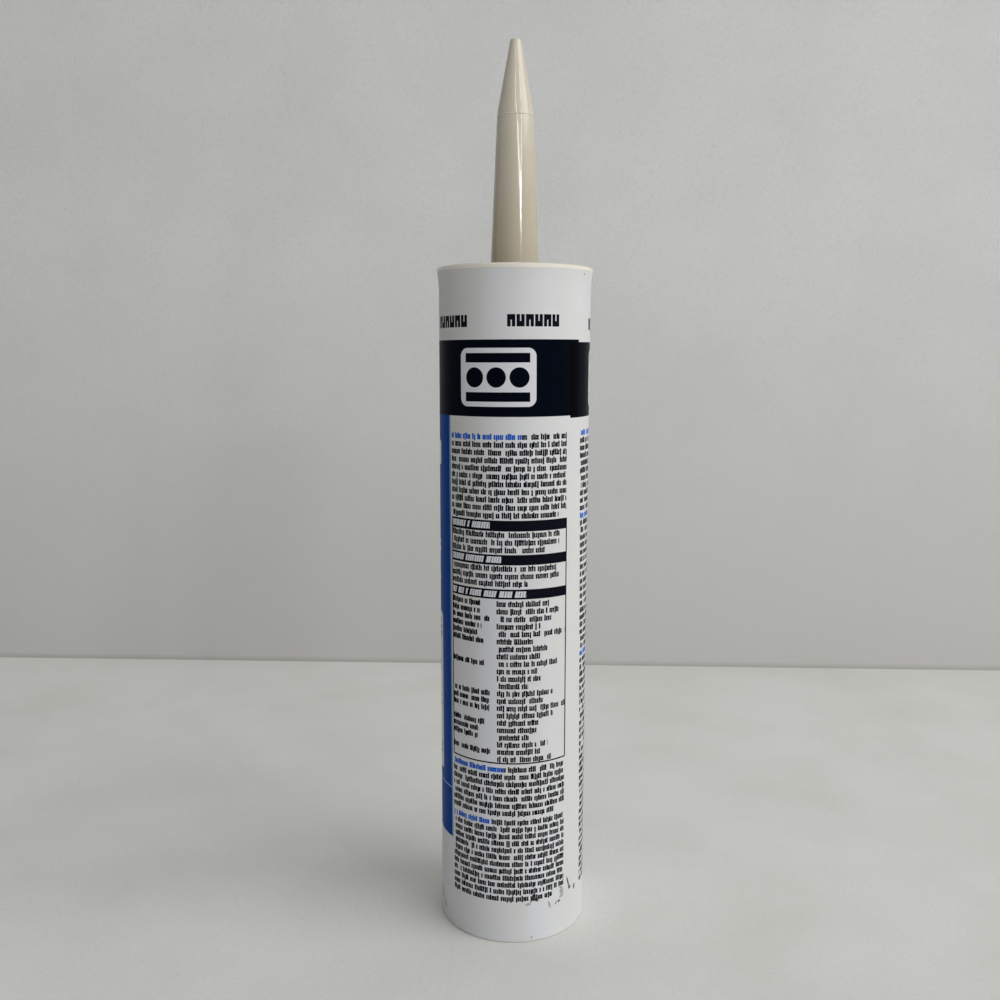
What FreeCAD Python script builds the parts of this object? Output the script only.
import FreeCAD, Part
import math
import os

# Sealant cartridge: an open-ended extruded tube, a moulded head with a closed conical
# nozzle, a plunger, and the sealant between them.
# Millimetres. The base ring lies on Z = 0 and the axis is +Z.

# Tube
tube_diameter = 49.4
tube_wall = 1.4
tube_length = 219.75
tube_end_bevel = 0.2
# The plug of the head stretches the last few millimetres of the tube outwards.
mouth_stretch = 0.5
mouth_depth = 4.2
mouth_blend_radius = 40.0
# The foot is belled a little, so that the plunger goes in easily.
foot_stretch = 0.2
foot_depth = 34.0

# Head: flange on the tube's end, plug inside it, and a sunk floor
flange_overhang = 0.06
flange_thickness = 1.4
flange_edge_bevel = 0.35
flange_inner_bevel = 0.4
plug_clearance = 0.08
plug_wall = 1.6
head_floor = 1.5
head_recess = 3.5
rib_count = 8
rib_thickness = 1.3
rib_below_flange = 0.8

# Nozzle: a slow lower cone, a blunt shoulder and a steeper tip cone, closed at the end
nozzle_height = 70.85
nozzle_root_radius = 8.05
nozzle_root_bevel = 1.0
shoulder_radius = 5.88
shoulder_round = 40.0
tip_cone_height = 22.6
tip_radius = 1.65
tip_edge_bevel = 0.35
tip_closure = 2.6
nozzle_wall = 1.35
witness_ring_drop = 0.9
witness_ring_width = 0.5
witness_ring_stand = 0.06
witness_ring_depth = 0.3

# Plunger: a cup with two wiper lips, open towards the tube's base
plunger_recess = 21.5
plunger_length = 16.0
plunger_web = 1.6
plunger_wall = 1.3
plunger_waist_depth = 0.9
plunger_corner_bevel = 1.2
lip_height = 2.2
lip_clearance = 0.05
crown_edge = 1.4
hub_radius = 7.0
plunger_rib_count = 8
plunger_rib_thickness = 1.2
plunger_rib_height = 2.4

# Sealant
sealant_side_clearance = 0.15
sealant_head_clearance = 0.1
sealant_plunger_clearance = 0.3
last_of_sealant = 1.2

# Places that the sizes above give
tube_radius = tube_diameter / 2
bore_radius = tube_radius - tube_wall
mouth_radius = tube_radius + mouth_stretch
mouth_bore_radius = bore_radius + mouth_stretch
mouth_start_z = tube_length - mouth_depth
flange_radius = mouth_radius + flange_overhang
flange_top_z = tube_length + flange_thickness
floor_top_z = flange_top_z - head_recess
floor_under_z = floor_top_z - head_floor
nozzle_tip_z = flange_top_z + nozzle_height
shoulder_z = nozzle_tip_z - tip_cone_height
plunger_top_z = plunger_recess + plunger_length
sealant_bottom_z = plunger_top_z + sealant_plunger_clearance
sealant_top_z = floor_under_z - sealant_head_clearance
sealant_height = sealant_top_z - sealant_bottom_z
plunger_travel = sealant_height - last_of_sealant

ORIGIN = FreeCAD.Vector(0, 0, 0)
UP = FreeCAD.Vector(0, 0, 1)
WHOLE_TURN = 360


def outline(corners):
    """A closed wire through (radius, height, rounding) corners, each corner rounded by an arc."""
    points = [FreeCAD.Vector(radius, 0, height) for radius, height, _ in corners]
    joins = []
    for i, point in enumerate(points):
        rounding = corners[i][2]
        if rounding == 0:
            joins.append((point, None, point))
            continue
        back = (points[i - 1] - point).normalize()
        ahead = (points[(i + 1) % len(points)] - point).normalize()
        half_angle = back.getAngle(ahead) / 2
        inward = (back + ahead).normalize()
        centre = point + inward * (rounding / math.sin(half_angle))
        reach = rounding / math.tan(half_angle)
        joins.append((point + back * reach, centre - inward * rounding, point + ahead * reach))
    edges = []
    for i, (start, middle, end) in enumerate(joins):
        if middle is not None:
            edges.append(Part.Arc(start, middle, end).toShape())
        edges.append(Part.LineSegment(end, joins[(i + 1) % len(joins)][0]).toShape())
    return Part.Wire(edges)


def turned(corners):
    """The solid that an outline sweeps in a whole turn about the axis."""
    return Part.Face(outline(corners)).revolve(ORIGIN, UP, WHOLE_TURN)


def spokes(count, thickness, inner_radius, outer_radius, bottom_z, top_z):
    """Flat radial plates, evenly spaced about the axis."""
    corner = FreeCAD.Vector(inner_radius, -thickness / 2, bottom_z)
    plate = Part.makeBox(outer_radius - inner_radius, thickness, top_z - bottom_z, corner)
    plates = []
    for i in range(count):
        turned_plate = plate.copy()
        turned_plate.rotate(ORIGIN, UP, WHOLE_TURN * i / count)
        plates.append(turned_plate)
    return plates


def radius_on_line(low, high, height):
    """The radius at a height on the straight line between two (radius, height) points."""
    share = (height - low[1]) / (high[1] - low[1])
    return low[0] + share * (high[0] - low[0])


def make_barrel():
    """Extruded tube, open at both ends, stretched a little at its mouth and its foot."""
    foot_radius = tube_radius + foot_stretch
    foot_bore_radius = bore_radius + foot_stretch
    return turned([
        (foot_bore_radius, tube_end_bevel, 0),
        (foot_bore_radius + tube_end_bevel, 0, 0),
        (foot_radius - tube_end_bevel, 0, 0),
        (foot_radius, tube_end_bevel, 0),
        (tube_radius, foot_depth, 0),
        (tube_radius, mouth_start_z, mouth_blend_radius),
        (mouth_radius, tube_length, 0),
        (mouth_bore_radius, tube_length, 0),
        (bore_radius, mouth_start_z, mouth_blend_radius),
        (bore_radius, foot_depth, 0),
    ])


def make_nozzle():
    """Head and nozzle, moulded in one piece and hollow up to the closed tip."""
    root = (nozzle_root_radius, floor_top_z)
    shoulder = (shoulder_radius, shoulder_z)
    tip = (tip_radius, nozzle_tip_z)
    channel_end_z = nozzle_tip_z - tip_closure
    channel_mouth_radius = radius_on_line(root, shoulder, floor_under_z) - nozzle_wall
    channel_shoulder_radius = shoulder_radius - nozzle_wall
    channel_end_radius = radius_on_line(shoulder, tip, channel_end_z) - nozzle_wall
    plug_foot_radius = bore_radius - plug_clearance
    plug_neck_radius = mouth_bore_radius - plug_clearance
    recess_radius = plug_foot_radius - plug_wall
    root_bevel_top_z = floor_top_z + nozzle_root_bevel
    tip_bevel_z = nozzle_tip_z - tip_edge_bevel
    body = turned([
        (channel_mouth_radius, floor_under_z, 0),
        (plug_foot_radius, floor_under_z, 0),
        (plug_neck_radius, tube_length, 0),
        (flange_radius, tube_length, 0),
        (flange_radius, flange_top_z - flange_edge_bevel, 0),
        (flange_radius - flange_edge_bevel, flange_top_z, 0),
        (recess_radius + flange_inner_bevel, flange_top_z, 0),
        (recess_radius, flange_top_z - flange_inner_bevel, 0),
        (recess_radius, floor_top_z, 0),
        (nozzle_root_radius + nozzle_root_bevel, floor_top_z, 0),
        (radius_on_line(root, shoulder, root_bevel_top_z), root_bevel_top_z, 0),
        (shoulder_radius, shoulder_z, shoulder_round),
        (radius_on_line(shoulder, tip, tip_bevel_z), tip_bevel_z, 0),
        (tip_radius - tip_edge_bevel, nozzle_tip_z, 0),
        (0, nozzle_tip_z, 0),
        (0, channel_end_z, 0),
        (channel_end_radius, channel_end_z, 0),
        (channel_shoulder_radius, shoulder_z, 0),
    ])
    ring_z = shoulder_z - witness_ring_drop
    ring_crest_radius = radius_on_line(root, shoulder, ring_z) + witness_ring_stand
    ring = turned([
        (ring_crest_radius - witness_ring_depth, ring_z - witness_ring_width, 0),
        (ring_crest_radius, ring_z, 0),
        (ring_crest_radius - witness_ring_depth, ring_z + witness_ring_width, 0),
    ])
    wall_middle = nozzle_root_radius - nozzle_wall / 2
    plug_middle = recess_radius + plug_wall / 2
    ribs = spokes(
        rib_count, rib_thickness, wall_middle, plug_middle,
        floor_under_z + head_floor / 2, flange_top_z - rib_below_flange,
    )
    return body.fuse([ring] + ribs).removeSplitter()


def make_plunger():
    """Moulded cup whose two lips wipe the bore, with a flat crown and a ribbed underside."""
    lip_radius = bore_radius - lip_clearance
    waist_radius = lip_radius - plunger_waist_depth
    cup_radius = waist_radius - plunger_wall
    web_under_z = plunger_top_z - plunger_web
    rear_lip_z = plunger_recess + lip_height
    front_lip_z = plunger_top_z - lip_height - crown_edge
    lip_slope = plunger_waist_depth
    cup = turned([
        (0, web_under_z, 0),
        (cup_radius - plunger_corner_bevel, web_under_z, 0),
        (cup_radius, web_under_z - plunger_corner_bevel, 0),
        (cup_radius, plunger_recess, 0),
        (lip_radius, plunger_recess, 0),
        (lip_radius, rear_lip_z, 0),
        (waist_radius, rear_lip_z + lip_slope, 0),
        (waist_radius, front_lip_z - lip_slope, 0),
        (lip_radius, front_lip_z, 0),
        (lip_radius, plunger_top_z - crown_edge, 0),
        (lip_radius - crown_edge, plunger_top_z, 0),
        (0, plunger_top_z, 0),
    ])
    rib_under_z = web_under_z - plunger_rib_height
    web_middle_z = plunger_top_z - plunger_web / 2
    hub = Part.makeCylinder(hub_radius, web_middle_z - rib_under_z, FreeCAD.Vector(0, 0, rib_under_z))
    ribs = spokes(
        plunger_rib_count, plunger_rib_thickness, hub_radius / 2, cup_radius + plunger_wall / 2,
        rib_under_z, web_middle_z,
    )
    return cup.fuse([hub] + ribs).removeSplitter()


def make_sealant():
    """The column of sealant between the plunger's crown and the head."""
    column_radius = bore_radius - sealant_side_clearance
    return Part.makeCylinder(column_radius, sealant_height, FreeCAD.Vector(0, 0, sealant_bottom_z))


def main():
    os.makedirs("parts", exist_ok=True)
    solids = {
        "barrel": make_barrel(),
        "nozzle": make_nozzle(),
        "plunger": make_plunger(),
        "sealant": make_sealant(),
    }
    for name, solid in solids.items():
        solid.exportStep("parts/" + name + ".step")
        box = solid.optimalBoundingBox()
        print(name, "valid", solid.isValid(), "solids", len(solid.Solids), "volume", round(solid.Volume))
        print("   z", round(box.ZMin, 2), "to", round(box.ZMax, 2), "width", round(box.XLength, 2))
    print("plunger travel", round(plunger_travel, 2), "sealant height", round(sealant_height, 2))


main()
